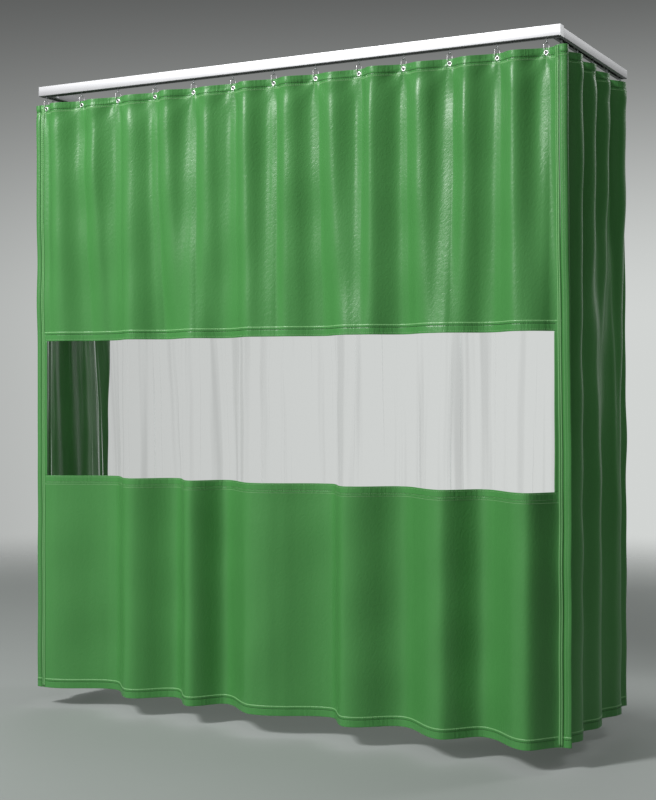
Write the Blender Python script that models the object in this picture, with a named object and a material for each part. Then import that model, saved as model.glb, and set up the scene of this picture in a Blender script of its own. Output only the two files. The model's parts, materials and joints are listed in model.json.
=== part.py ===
"""Welding curtain screen: a three-sided booth of green vinyl curtains hung from a ceiling track.

The origin is the centre of the front rail's top face. +X runs along the front rail, +Y runs
back into the booth and +Z is up. The rails are slotted channels, in which two-wheeled trolleys
run. Each trolley carries a wire ring, and the ring passes through an eyelet in the top hem.
"""

from math import cos, pi, sin, sqrt, tan

import bmesh
import bpy
import numpy as np

# Overall sizes
FRONT_LENGTH = 2.280        # outer length of the front rail, over its end caps
RIGHT_DEPTH = 0.810         # from the front rail's front face to the right rail's rear end
LEFT_DEPTH = 0.500          # the same on the left
DROP = 2.440                # curtain height, from the top hem's edge to the bottom hem's edge

# Channel rails
RAIL_WIDTH = 0.040
FRONT_RAIL_HEIGHT = 0.040
SIDE_RAIL_HEIGHT = 0.034
RAIL_WALL = 0.002
SLOT_WIDTH = 0.012
CAP_THICKNESS = 0.002
CAP_PLUG = 0.006            # how far an end cap's plug reaches into the rail
BRACKET_LEG = 0.040
BRACKET_HEIGHT = 0.026
BRACKET_THICKNESS = 0.003

# Hanging points
FRONT_HOOKS = 13
RIGHT_HOOKS = 5
LEFT_HOOKS = 3
FRONT_LEFT_INSET = 0.027    # from the front rail's left end to its first hanging point
FRONT_RIGHT_INSET = 0.057   # from its right end to its last one
SIDE_FIRST = 0.052          # from the front rail's centre line to a side's first hanging point
SIDE_END_INSET = 0.026      # from a side rail's rear end to its last one

# Trolleys
WHEEL_RADIUS = 0.008
WHEEL_WIDTH = 0.007
WHEEL_CLEARANCE = 0.003     # from a wheel's outer face to the channel's wall
AXLE_RADIUS = 0.0025
BLOCK_LENGTH = 0.012
STEM_WIDTH = 0.005
TAB_WIDTH = 0.012
TAB_THICKNESS = 0.003
EYE_RADIUS = 0.0035
EYE_DROP = 0.0135           # the eye's centre below the rail's underside
TURN = pi / 4               # the rings stand at 45 degrees to their rail

# Wire rings and eyelets
WIRE_RADIUS = 0.0012
RING_WIDTH = 0.022          # outer width of the oval ring
RING_STRAIGHT = 0.0137      # length of the oval's straight sides
RING_FLAT = pi / 15         # half the angle over which the oval is level at its top and bottom
EYELET_RADIUS = 0.00475     # clear hole in the hem
EYELET_INSET = 0.016        # the eyelet's centre below the curtain's top edge

# Curtain
SHEET = 0.002
EDGE_INSET = 0.0005         # from the front rail's end to the front curtain's side edge
WINDOW_TOP = 0.405          # share of the drop at which the clear window starts
WINDOW_BOTTOM = 0.636       # share of the drop at which it ends
BORDER = 0.026              # width of the green borders beside the window
TOP_FOLD = 0.054            # how far the cloth stands forward between two hanging points
FLAT_SHARE = 0.07           # share of a pitch, each side of an eyelet, where the cloth is flat
LOW_FOLD = 0.110            # depth of the broad folds at the bottom hem
LOW_LEFT = 0.115            # how far back those folds reach at the front's left edge
LOW_RIGHT = 0.015           # and at its right edge
SIDE_LOW_FOLD = 0.040
CORNER_REACH = 0.062        # how far the cloth's rounded corner swings past the front curtain
BLEND_START, BLEND_END = 0.03, 0.60     # shares of the drop over which top folds become broad ones

# The broad folds along the front: shares of its length at which the cloth is furthest out and in
LOW_CRESTS = (0.008, 0.200, 0.330, 0.460, 0.640, 0.810, 0.953)
LOW_VALLEYS = (0.133, 0.271, 0.378, 0.588, 0.724, 0.867, 1.000)

GAP = 0.0003                # clearance between pieces that touch

# Places that follow from the sizes
HALF_LENGTH = FRONT_LENGTH / 2
HALF_WIDTH = RAIL_WIDTH / 2
SIDE_LINE = HALF_LENGTH - HALF_WIDTH            # a side rail's centre line, from the middle
RAIL_BOTTOM = -FRONT_RAIL_HEIGHT
RIGHT_END = RIGHT_DEPTH - HALF_WIDTH
LEFT_END = LEFT_DEPTH - HALF_WIDTH
AXLE_Z = RAIL_BOTTOM + RAIL_WALL + GAP + WHEEL_RADIUS
EYE_Z = RAIL_BOTTOM - EYE_DROP
RING_RADIUS = RING_WIDTH / 2 - WIRE_RADIUS      # of the wire's centre line at the oval's ends
RING_TOP = EYE_Z - EYE_RADIUS + WIRE_RADIUS + GAP
RING_RISE = RING_RADIUS * cos(RING_FLAT)        # from the end of a straight side to the level
RING_BOTTOM = RING_TOP - 2 * RING_RISE - RING_STRAIGHT
WIRE_REACH = SHEET / 2 / tan(TURN) + WIRE_RADIUS / sin(TURN)      # across its eyelet, each way
WIRE_DROP = max(GAP, WIRE_REACH - EYELET_RADIUS * tan(pi / 8) - WIRE_RADIUS / 2 + GAP)
EYELET_Z = RING_BOTTOM - EYELET_RADIUS + WIRE_RADIUS + WIRE_DROP
CURTAIN_TOP = EYELET_Z + EYELET_INSET
CURTAIN_EDGE = HALF_LENGTH - EDGE_INSET
FRONT_FIRST = -HALF_LENGTH + FRONT_LEFT_INSET
FRONT_PITCH = (FRONT_LENGTH - FRONT_LEFT_INSET - FRONT_RIGHT_INSET) / (FRONT_HOOKS - 1)

METAL, PLASTIC = 1.0, 0.0
FINISHES = {
    "rail": ((0.78, 0.79, 0.80), 0.34, METAL),
    "cap": ((0.62, 0.64, 0.65), 0.40, METAL),
    "bracket": ((0.55, 0.56, 0.58), 0.45, METAL),
    "trolley": ((0.80, 0.80, 0.78), 0.45, PLASTIC),
    "ring": ((0.82, 0.83, 0.84), 0.18, METAL),
    "green_vinyl": ((0.055, 0.21, 0.055), 0.38, PLASTIC),
    "clear_vinyl": ((0.72, 0.80, 0.78), 0.12, PLASTIC),
}


def finish(name):
    """The named material, made the first time that it is asked for."""
    if name in bpy.data.materials:
        return bpy.data.materials[name]
    colour, roughness, metallic = FINISHES[name]
    material = bpy.data.materials.new(name)
    material.use_nodes = True
    shader = material.node_tree.nodes["Principled BSDF"]
    shader.inputs["Base Color"].default_value = (*colour, 1.0)
    shader.inputs["Roughness"].default_value = roughness
    shader.inputs["Metallic"].default_value = metallic
    material.diffuse_color = (*colour, 1.0)
    return material


def new_object(name, mesh, material, location=(0, 0, 0), turn=0.0):
    """An object that shows a mesh, with a finish, at a place and turned about Z."""
    thing = bpy.data.objects.new(name, mesh)
    bpy.context.scene.collection.objects.link(thing)
    if material and not mesh.materials:
        mesh.materials.append(finish(material))
    thing.location = location
    thing.rotation_euler = (0, 0, turn)
    return thing


def mesh_from(name, vertices, faces):
    """A mesh from its vertices and faces, with its faces turned outwards."""
    mesh = bpy.data.meshes.new(name)
    mesh.from_pydata([tuple(map(float, v)) for v in vertices], [], [tuple(f) for f in faces])
    shape = bmesh.new()
    shape.from_mesh(mesh)
    bmesh.ops.recalc_face_normals(shape, faces=shape.faces)
    shape.to_mesh(mesh)
    shape.free()
    return mesh


def box_mesh(name, low, high):
    """A box between two corners."""
    shape = bmesh.new()
    bmesh.ops.create_cube(shape, size=1.0)
    low, high = np.array(low), np.array(high)
    for v in shape.verts:
        v.co = tuple((low + high) / 2 + np.array(v.co) * (high - low))
    mesh = bpy.data.meshes.new(name)
    shape.to_mesh(mesh)
    shape.free()
    return mesh


def prism_mesh(name, outline, low, high, place):
    """An outline carried between two heights; place turns (a, b, height) into a point."""
    count = len(outline)
    vertices = [place(a, b, h) for h in (low, high) for a, b in outline]
    faces = [range(count), range(2 * count - 1, count - 1, -1)]
    for k in range(count):
        after = (k + 1) % count
        faces.append((k, after, count + after, count + k))
    return mesh_from(name, vertices, faces)


def polygon(sides, inscribed, turn=0.0):
    """A regular outline round (0, 0) with flats at the inscribed radius."""
    corner = inscribed / cos(pi / sides)
    return [(corner * cos(turn + pi * (2 * k + 1) / sides),
             corner * sin(turn + pi * (2 * k + 1) / sides)) for k in range(sides)]


def combine(target, helper, operation):
    """Cut or join one object with another, and keep the result as the target's mesh."""
    helper.hide_render = True
    helper.display_type = "WIRE"
    step = target.modifiers.new(operation.lower(), "BOOLEAN")
    step.operation = operation
    step.solver = "EXACT"
    step.object = helper
    bpy.context.view_layer.update()
    graph = bpy.context.evaluated_depsgraph_get()
    mesh = bpy.data.meshes.new_from_object(target.evaluated_get(graph))
    target.modifiers.clear()
    target.data = mesh
    bpy.data.objects.remove(helper)


# ---- Rails ------------------------------------------------------------------------------------

def channel_outline(height):
    """Section of a slotted channel, as (across, up from the front rail's top face)."""
    top = RAIL_BOTTOM + height
    lip = SLOT_WIDTH / 2
    inner = HALF_WIDTH - RAIL_WALL
    floor = RAIL_BOTTOM + RAIL_WALL
    half = [(HALF_WIDTH, top), (HALF_WIDTH, RAIL_BOTTOM), (lip, RAIL_BOTTOM), (lip, floor),
            (inner, floor), (inner, top - RAIL_WALL)]
    return half + [(-a, b) for a, b in reversed(half)]


def rail_rise(height):
    """Height of a rail's top face."""
    return RAIL_BOTTOM + height


def make_cap(name, height, location, turn):
    """End cap: a plate over the rail's end, with a plug that fits inside it. Local +X is out."""
    wide, tall = HALF_WIDTH, height / 2
    slip = RAIL_WALL + GAP
    plate = box_mesh(name, (0, -wide, -tall), (CAP_THICKNESS, wide, tall))
    x, y = location
    place = (x, y, RAIL_BOTTOM + height / 2)
    cap = new_object(name, plate, "cap", place, turn)
    plug = box_mesh("plug", (-CAP_PLUG, slip - wide, slip - tall),
                    (CAP_THICKNESS / 2, wide - slip, tall - slip))
    combine(cap, new_object("plug", plug, None, place, turn), "UNION")


def make_front_rail():
    """The front rail, with a cap at each end."""
    reach = HALF_LENGTH - CAP_THICKNESS - GAP
    outline = channel_outline(FRONT_RAIL_HEIGHT)
    mesh = prism_mesh("front_rail", outline, -reach, reach, lambda a, b, h: (h, a, b))
    new_object("front_rail", mesh, "rail")
    end = HALF_LENGTH - CAP_THICKNESS
    make_cap("front_rail_right_cap", FRONT_RAIL_HEIGHT, (end, 0), 0)
    make_cap("front_rail_left_cap", FRONT_RAIL_HEIGHT, (-end, 0), pi)


def make_side_rail(side, sign, end):
    """A side rail, which butts against the front rail's back, its rear cap and corner bracket."""
    outline = channel_outline(SIDE_RAIL_HEIGHT)
    mesh = prism_mesh(f"{side}_rail", outline, HALF_WIDTH + GAP, end - CAP_THICKNESS - GAP,
                      lambda a, b, h: (sign * SIDE_LINE + a, h, b))
    new_object(f"{side}_rail", mesh, "rail")
    make_cap(f"{side}_rail_rear_cap", SIDE_RAIL_HEIGHT, (sign * SIDE_LINE, end - CAP_THICKNESS),
             pi / 2)
    leg, thick = BRACKET_LEG, BRACKET_THICKNESS
    angle = [(0, 0), (leg, 0), (leg, thick), (thick, thick), (thick, leg), (0, leg)]
    corner_x = SIDE_LINE - HALF_WIDTH - GAP
    corner_y = HALF_WIDTH + GAP
    low = RAIL_BOTTOM + (SIDE_RAIL_HEIGHT - BRACKET_HEIGHT) / 2
    mesh = prism_mesh(f"{side}_corner_bracket", angle, low, low + BRACKET_HEIGHT,
                      lambda a, b, h: (sign * (corner_x - a), corner_y + b, h))
    new_object(f"{side}_corner_bracket", mesh, "bracket")


# ---- Trolleys and rings -----------------------------------------------------------------------

def trolley_mesh():
    """Two wheels on an axle, a block, a stem through the slot and a turned tab with an eye.

    Local X runs along the rail, and the origin is in the rail's centre at the axle's height.
    """
    outer = HALF_WIDTH - RAIL_WALL - WHEEL_CLEARANCE
    inner = outer - WHEEL_WIDTH
    profile = [(0, -outer), (WHEEL_RADIUS, -outer), (WHEEL_RADIUS, -inner), (AXLE_RADIUS, -inner),
               (AXLE_RADIUS, inner), (WHEEL_RADIUS, inner), (WHEEL_RADIUS, outer), (0, outer)]
    sides = 10
    vertices = [(0, -outer, 0), (0, outer, 0)]
    for radius, along in profile[1:-1]:
        for k in range(sides):
            turn = 2 * pi * (k + 0.5) / sides
            vertices.append((radius * sin(turn), along, -radius * cos(turn)))
    faces = []
    rings = len(profile) - 2
    for k in range(sides):
        after = (k + 1) % sides
        faces.append((0, 2 + k, 2 + after))
        last = 2 + (rings - 1) * sides
        faces.append((1, last + after, last + k))
        for r in range(rings - 1):
            low, high = 2 + r * sides, 2 + (r + 1) * sides
            faces.append((low + k, low + after, high + after, high + k))
    body = new_object("trolley", mesh_from("trolley", vertices, faces), "trolley")

    block_half = SLOT_WIDTH / 2 - RAIL_WALL / 2
    block = box_mesh("block", (-BLOCK_LENGTH / 2, -block_half, -AXLE_RADIUS * 1.6),
                     (BLOCK_LENGTH / 2, block_half, AXLE_RADIUS * 1.6))
    combine(body, new_object("block", block, None), "UNION")

    eye = EYE_Z - AXLE_Z
    tab_half = TAB_WIDTH / 2
    stem = box_mesh("stem", (-STEM_WIDTH / 2, -STEM_WIDTH / 2, eye + EYE_RADIUS * 1.2),
                    (STEM_WIDTH / 2, STEM_WIDTH / 2, 0))
    combine(body, new_object("stem", stem, None, turn=TURN), "UNION")

    tab_outline = polygon(8, tab_half)
    across = -TAB_THICKNESS / 2, TAB_THICKNESS / 2
    tab = prism_mesh("tab", tab_outline, *across, lambda a, b, h: (h, a, eye + b))
    combine(body, new_object("tab", tab, None, turn=TURN), "UNION")
    hole = prism_mesh("hole", polygon(8, EYE_RADIUS), -tab_half, tab_half,
                      lambda a, b, h: (h, a, eye + b))
    combine(body, new_object("hole", hole, None, turn=TURN), "DIFFERENCE")

    mesh = body.data
    bpy.data.objects.remove(body)
    return mesh


def ring_mesh():
    """An oval wire ring in its own XZ plane, turned about Z. The origin is at its top centre."""
    sides = 6
    half_bend = np.linspace(0, pi / 2 - RING_FLAT, 3)
    bend = np.concatenate([half_bend, pi - half_bend[::-1]])
    path = []
    for lift, turns in ((-RING_RISE, bend), (-RING_RISE - RING_STRAIGHT, bend + pi)):
        for turn in turns:
            path.append((RING_RADIUS * cos(turn), lift + RING_RADIUS * sin(turn), turn))
    vertices, faces = [], []
    for x, z, turn in path:
        for s in range(sides):
            around = 2 * pi * s / sides
            out = WIRE_RADIUS * cos(around)
            vertices.append((x + out * cos(turn), WIRE_RADIUS * sin(around), z + out * sin(turn)))
    count = len(path)
    for k in range(count):
        after = (k + 1) % count
        for s in range(sides):
            t = (s + 1) % sides
            faces.append((k * sides + s, k * sides + t, after * sides + t, after * sides + s))
    mesh = mesh_from("ring", vertices, faces)
    mesh.shade_smooth()
    return mesh


def hang(prefix, places, turn, trolley, ring):
    """A trolley and its ring at each hanging point; turn is the rail's direction about Z."""
    for number, (x, y) in enumerate(places, 1):
        new_object(f"{prefix}_trolley_{number:02d}", trolley, "trolley", (x, y, AXLE_Z), turn)
        new_object(f"{prefix}_ring_{number:02d}", ring, "ring", (x, y, RING_TOP), turn + TURN)


def front_places():
    """Hanging points along the front, from the left."""
    return [(FRONT_FIRST + FRONT_PITCH * k, 0.0) for k in range(FRONT_HOOKS)]


def side_pitch(end, hooks):
    """Distance between a side's hanging points."""
    return (end - SIDE_END_INSET - SIDE_FIRST) / (hooks - 1)


def side_places(sign, end, hooks):
    """Hanging points along a side, from the front."""
    return [(sign * SIDE_LINE, SIDE_FIRST + side_pitch(end, hooks) * k) for k in range(hooks)]


# ---- Curtains ---------------------------------------------------------------------------------

def smooth(value):
    """Rises from 0 to 1 without a corner."""
    value = np.clip(value, 0, 1)
    return value * value * (3 - 2 * value)


def fold(steps):
    """How far out the cloth stands, as a share: 0 and flat at whole steps, 1 half way."""
    nearest = np.abs(steps - np.round(steps))
    share = np.clip((nearest - FLAT_SHARE) / (0.5 - FLAT_SHARE), 0, 1)
    return (1 - np.cos(pi * share)) / 2


def fold_size(steps):
    """Each fold's own size, so that no two neighbours are quite alike."""
    return 0.86 + 0.14 * np.sin(2.4 * np.floor(steps) + 1.0)


def spread(height):
    """How far the small folds at the hem have become the broad folds below, from 0 to 1."""
    share = (CURTAIN_TOP - height) / DROP
    return smooth((share - BLEND_START) / (BLEND_END - BLEND_START))


def front_y(x, z):
    """Y of the front curtain: small folds at the hanging points, seven broad ones at the hem."""
    steps = (x - FRONT_FIRST) / FRONT_PITCH
    top = -TOP_FOLD * fold(steps) * fold_size(steps)
    share = (x + HALF_LENGTH) / FRONT_LENGTH
    turns = sorted([(t, k + 0.5) for k, t in enumerate(LOW_CRESTS)]
                   + [(t, k + 1.0) for k, t in enumerate(LOW_VALLEYS)])
    phase = np.interp(share, [t for t, _ in turns], [q for _, q in turns])
    inner = LOW_LEFT + (LOW_RIGHT - LOW_LEFT) * share
    low = inner - LOW_FOLD * (1 - np.cos(2 * pi * phase)) / 2
    return top + (low - top) * spread(z)


def side_out(y, z, pitch):
    """How far a side curtain stands out of its rail's centre line."""
    steps = (y - SIDE_FIRST) / pitch
    top = TOP_FOLD * fold(steps) * fold_size(steps)
    low = SIDE_LOW_FOLD * (1.1 - np.cos(2 * pi * steps * 0.75 + 0.6)) / 2
    return top + (low - top) * spread(z)


def columns(first, pitch, low, high):
    """Places along a rail where the sheet is bent: beside each eyelet and across each fold."""
    offsets = np.array([-FLAT_SHARE, FLAT_SHARE, 0.27, 0.5, 0.73])
    start = int(np.floor((low - first) / pitch)) - 1
    stop = int(np.ceil((high - first) / pitch)) + 1
    places = first + pitch * (np.arange(start, stop)[:, None] + offsets).ravel()
    near = pitch * FLAT_SHARE / 2
    inside = places[(places > low + near) & (places < high - near)]
    return np.concatenate([[low], inside, [high]])


def rows(low, high, count):
    """Heights from one share of the drop to another, going down."""
    return CURTAIN_TOP - DROP * np.linspace(low, high, count)


def sheet_mesh(name, x, y, z):
    """A closed sheet round a surface given as three grids, thickened level across its normal."""
    along = np.stack([np.gradient(x, axis=0), np.gradient(y, axis=0)])
    along /= np.linalg.norm(along, axis=0)
    across = SHEET / 2
    layers = [np.stack([x + s * along[1] * across, y - s * along[0] * across, z], axis=-1)
              for s in (1, -1)]
    wide, tall = x.shape
    vertices = np.concatenate([layer.reshape(-1, 3) for layer in layers])
    index = np.arange(wide * tall).reshape(wide, tall)
    a, b, c, d = index[:-1, :-1], index[1:, :-1], index[1:, 1:], index[:-1, 1:]
    near = np.stack([a, b, c, a, c, d], axis=-1).reshape(-1, 3)
    far = near[:, ::-1] + wide * tall
    edge = np.concatenate([index[:, 0], index[-1, 1:], index[-2::-1, -1], index[0, -2:0:-1]])
    after = np.roll(edge, -1)
    rim = np.stack([after, edge, edge + wide * tall, after + wide * tall], axis=-1)
    return mesh_from(name, vertices, near.tolist() + far.tolist() + rim.tolist())


def cut_eyelets(curtain, places, turn):
    """Eight-sided holes, with a flat on top, through the top hem at each hanging point."""
    reach = 4 * SHEET
    for number, (x, y) in enumerate(places):
        hole = prism_mesh("eyelet", polygon(8, EYELET_RADIUS), -reach, reach,
                          lambda a, b, h: (a, h, b))
        cutter = new_object(f"eyelet_{number}", hole, None, (x, y, EYELET_Z), turn)
        combine(curtain, cutter, "DIFFERENCE")


def front_sheet(name, material, low_x, high_x, low, high, bands):
    """A piece of the front curtain between two places along it and two shares of the drop."""
    x = columns(FRONT_FIRST, FRONT_PITCH, low_x, high_x)
    z = rows(low, high, bands + 1)
    x, z = np.meshgrid(x, z, indexing="ij")
    return new_object(name, sheet_mesh(name, x, front_y(x, z), z), material)


def make_front_curtain():
    """The front curtain: an upper panel, a clear window between two borders, a lower panel."""
    edge = CURTAIN_EDGE
    seam = GAP / DROP
    top, bottom = WINDOW_TOP + seam, WINDOW_BOTTOM - seam
    upper = front_sheet("front_upper_panel", "green_vinyl", -edge, edge, 0, WINDOW_TOP, 4)
    cut_eyelets(upper, front_places(), 0)
    pane = edge - BORDER - SHEET / 2 - GAP
    front_sheet("front_window", "clear_vinyl", -pane, pane, top, bottom, 2)
    front_sheet("front_left_border", "green_vinyl", -edge, BORDER - edge, top, bottom, 2)
    front_sheet("front_right_border", "green_vinyl", edge - BORDER, edge, top, bottom, 2)
    front_sheet("front_lower_panel", "green_vinyl", -edge, edge, WINDOW_BOTTOM, 1, 3)


def make_side_curtain(side, sign, end, hooks):
    """A side curtain: a rounded corner from the front curtain's edge, then folds to the rear."""
    pitch = side_pitch(end, hooks)
    z = rows(0, 1, 9)
    straight = columns(SIDE_FIRST, pitch, SIDE_FIRST - pitch * FLAT_SHARE, end)
    y, z_grid = np.meshgrid(straight, z, indexing="ij")
    x = SIDE_LINE + side_out(y, z_grid, pitch)

    # The corner is a curve with one control point, level at each height.
    seam_x = CURTAIN_EDGE + SHEET
    seam_y = front_y(np.full_like(z, sign * CURTAIN_EDGE), z)
    share = np.linspace(0, 1, 6)[:-1, None]
    start, bend, stop = (1 - share) ** 2, 2 * share * (1 - share), share ** 2
    corner_x = start * seam_x + bend * (seam_x + CORNER_REACH) + stop * x[0]
    corner_y = start * seam_y + bend * seam_y + stop * y[0]
    corner_z = np.broadcast_to(z, corner_x.shape)
    x = np.concatenate([corner_x, x])
    y = np.concatenate([corner_y, y])
    z = np.concatenate([corner_z, z_grid])
    name = f"{side}_curtain"
    curtain = new_object(name, sheet_mesh(name, sign * x, y, z), "green_vinyl")
    cut_eyelets(curtain, side_places(sign, end, hooks), pi / 2)


def main():
    """Clear the scene and make every piece."""
    for thing in list(bpy.data.objects):
        bpy.data.objects.remove(thing, do_unlink=True)
    make_front_rail()
    make_side_rail("right", 1, RIGHT_END)
    make_side_rail("left", -1, LEFT_END)
    trolley, ring = trolley_mesh(), ring_mesh()
    hang("front", front_places(), 0, trolley, ring)
    hang("right", side_places(1, RIGHT_END, RIGHT_HOOKS), pi / 2, trolley, ring)
    hang("left", side_places(-1, LEFT_END, LEFT_HOOKS), pi / 2, trolley, ring)
    make_front_curtain()
    make_side_curtain("right", 1, RIGHT_END, RIGHT_HOOKS)
    make_side_curtain("left", -1, LEFT_END, LEFT_HOOKS)


main()
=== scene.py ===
"""Welding curtain screen: its finished look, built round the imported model.

Laid out as an add-on and run as a script. Every surface is worked out on a grid of two
parameters: the curtains from their folds, the hardware from turned or carried profiles.
"""

import json
from math import cos, pi, radians, sin

import bmesh
import bpy
import numpy as np
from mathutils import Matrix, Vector


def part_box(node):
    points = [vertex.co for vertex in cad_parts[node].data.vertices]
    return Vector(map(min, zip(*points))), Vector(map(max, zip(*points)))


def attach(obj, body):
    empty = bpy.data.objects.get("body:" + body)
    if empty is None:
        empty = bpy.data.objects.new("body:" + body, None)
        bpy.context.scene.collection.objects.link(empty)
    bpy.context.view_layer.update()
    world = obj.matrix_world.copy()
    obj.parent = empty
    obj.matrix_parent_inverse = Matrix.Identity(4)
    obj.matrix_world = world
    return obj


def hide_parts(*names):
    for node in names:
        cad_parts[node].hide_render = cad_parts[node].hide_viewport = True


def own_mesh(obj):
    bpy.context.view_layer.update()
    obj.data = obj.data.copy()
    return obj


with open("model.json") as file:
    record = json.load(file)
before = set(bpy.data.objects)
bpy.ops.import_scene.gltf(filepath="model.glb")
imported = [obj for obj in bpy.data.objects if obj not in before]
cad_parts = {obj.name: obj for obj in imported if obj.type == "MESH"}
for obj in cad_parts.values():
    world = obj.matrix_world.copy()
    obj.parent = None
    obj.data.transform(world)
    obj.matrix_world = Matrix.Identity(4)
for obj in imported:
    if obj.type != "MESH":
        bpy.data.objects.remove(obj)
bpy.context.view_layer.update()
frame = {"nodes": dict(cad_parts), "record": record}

bl_info = {
    "name": "Welding Curtain Screen",
    "version": (1, 0, 0),
    "blender": (4, 5, 0),
    "location": "View3D > Sidebar > Booth",
    "description": "Builds the curtains, rails and hanging hardware of a welding booth",
    "category": "Add Mesh",
}


# ---- Places read from the frame ---------------------------------------------------------------

def low(node, axis):
    """A node's lowest coordinate on an axis."""
    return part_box(node)[0][axis]


def high(node, axis):
    """A node's highest coordinate on an axis."""
    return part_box(node)[1][axis]


def middle(node):
    """The centre of a node's box."""
    return (np.array(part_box(node)[0]) + np.array(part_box(node)[1])) / 2


def node_body(node):
    """The body that a node belongs to."""
    bodies = frame["record"]["behaviour"]["bodies"]
    return next(body for body, nodes in bodies.items() if node in nodes)


def hanging_points(side):
    """Each ring's centre along a side, in order, as an array of (x, y)."""
    rings = sorted(node for node in frame["nodes"] if node.startswith(f"{side}_ring_"))
    return np.array([middle(node)[:2] for node in rings])


RAIL_BOTTOM = low("front_rail", 2)
CLOTH_TOP = high("front_upper_panel", 2)
CLOTH_BOTTOM = low("front_lower_panel", 2)
DROP = CLOTH_TOP - CLOTH_BOTTOM
WINDOW_TOP = low("front_upper_panel", 2)
WINDOW_BOTTOM = high("front_lower_panel", 2)
FRONT_EDGE = high("front_upper_panel", 0)
FRONT_LENGTH = high("front_rail_right_cap", 0) - low("front_rail_left_cap", 0)
BORDER_EDGE = low("front_right_border", 0)
SIDE_LINE = middle("right_rail")[0]
SIDE_END = {side: high(f"{side}_rail_rear_cap", 1) for side in ("right", "left")}
SIDE_SIGN = {"right": 1.0, "left": -1.0}
HOOKS = {side: hanging_points(side) for side in ("front", "right", "left")}
FRONT_FIRST = HOOKS["front"][0, 0]
FRONT_PITCH = HOOKS["front"][1, 0] - FRONT_FIRST
RING_LOW = low("front_ring_01", 2)
RING_HIGH = high("front_ring_01", 2)

# Folds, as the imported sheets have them
TOP_FOLD = 0.054            # depth of the folds between hanging points
FLAT_SHARE = 0.07           # share of a pitch that stays flat on each side of a hanging point
FOLD_LEAN = 0.80            # below 1, so that a fold rises quickly and falls slowly
LOW_FOLD = 0.110            # depth of the front's broad folds at the bottom hem
LOW_LEFT, LOW_RIGHT = 0.115, 0.015      # how far behind the rail those folds' valleys are
LOW_CRESTS = (0.008, 0.200, 0.330, 0.460, 0.640, 0.810, 0.953)      # shares of the length
LOW_VALLEYS = (0.133, 0.271, 0.378, 0.588, 0.724, 0.867, 1.000)
BLEND_START, BLEND_END = 0.05, 0.66     # shares of the drop where small folds become broad
SIDE_LOW_FOLD = 0.040       # depth of a side curtain's folds at its bottom hem
CORNER_REACH = 0.062        # how far a side curtain bulges out at its corner
CORNER_SHARE = 0.12         # share of a side curtain's length that goes round the corner
CALM, CALM_DEPTH = 0.02, 0.12           # below the top, where small waves begin and are full

# Sewing and hardware
CLEARANCE = 0.0003          # between a piece and what it stands or hangs on
SEAM_GAP = 0.0015           # from the front curtain's edge to a side curtain's
PALE_ROW, DARK_ROW = 0.004, 0.012       # from a hem's free edge to its rows of stitches
HEM_STEP = 0.0016           # length over which a hem's free edge steps out
GROOVE = 0.0022             # half the width of the groove along the dark row
TUCK = 0.0006               # how far the cloth stops short of the top hem's fold
LIE = 0.0002                # how far a row of stitches lies above its cloth
SEAM_ROW = 0.003            # from a seam tape's edge to its row of stitches
SEAM_START = 0.001          # share of the front's length from its edge to a seam tape
SPINDLE = ((-1, 0.25), (-0.6, 0.9), (0.6, 0.9), (1, 0.25))      # a stitch: place, size there
RING_TURN = pi / 4          # how far the rings and eyes are turned from the rail
EYELET_STEPS = 20           # points round an eyelet's section; the first faces its hole
BARREL_STEPS = 3            # how many of them, each way from the first, are its barrel, painted near black as shade


# ---- Sizes and colours that a user may change -------------------------------------------------

def metres(name, description, default):
    """A length."""
    return bpy.props.FloatProperty(name=name, description=description, default=default,
                                   min=0.0, precision=5, unit="LENGTH")


def colour(name, description, default):
    """A linear colour."""
    return bpy.props.FloatVectorProperty(name=name, description=description, default=default,
                                         size=3, min=0.0, max=1.0, subtype="COLOR")


class CurtainProperties(bpy.types.PropertyGroup):
    """Sizes of the vinyl, its hems and its stitching."""

    front_cut: metres("Front cut", "Width that the front curtain was cut to", 2.74)
    right_cut: metres("Right cut", "Width that the right curtain was cut to", 1.05)
    left_cut: metres("Left cut", "Width that the left curtain was cut to", 0.70)
    window_cut: metres("Window cut", "Width that the window film was cut to", 2.69)
    border_cut: metres("Border cut", "Width that the window's borders were cut to", 0.027)
    window_lap: metres("Window lap", "How far the film runs behind its neighbours", 0.010)
    thickness: metres("Thickness", "Thickness of the green vinyl", 0.0009)
    hem: metres("Hem", "Height of the hems", 0.038)
    hem_proud: metres("Hem step", "How far a hem's second layer stands proud", 0.0012)
    seam: metres("Seam", "Width of the vertical seams", 0.014)
    stitch_pitch: metres("Stitch pitch", "Distance between stitches", 0.0085)
    stitch_length: metres("Stitch", "Length of one stitch", 0.0062)
    stitch_width: metres("Thread", "Width of the thread", 0.0015)
    green: colour("Green", "The vinyl's colour", (0.062, 0.238, 0.060))
    deep_green: colour("Deep green", "The vinyl's darker patches", (0.049, 0.188, 0.047))
    thread: colour("Thread", "The outer row's thread", (0.26, 0.52, 0.23))
    # The inner row's thread colour is painted shade: those stitches are painted dark to stand in
    # for the shadow along the stitched groove.
    dark_thread: colour("Dark thread", "The inner row's thread", (0.018, 0.085, 0.016))
    clear: colour("Clear film", "Tint of the window film", (0.86, 0.90, 0.88))


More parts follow.
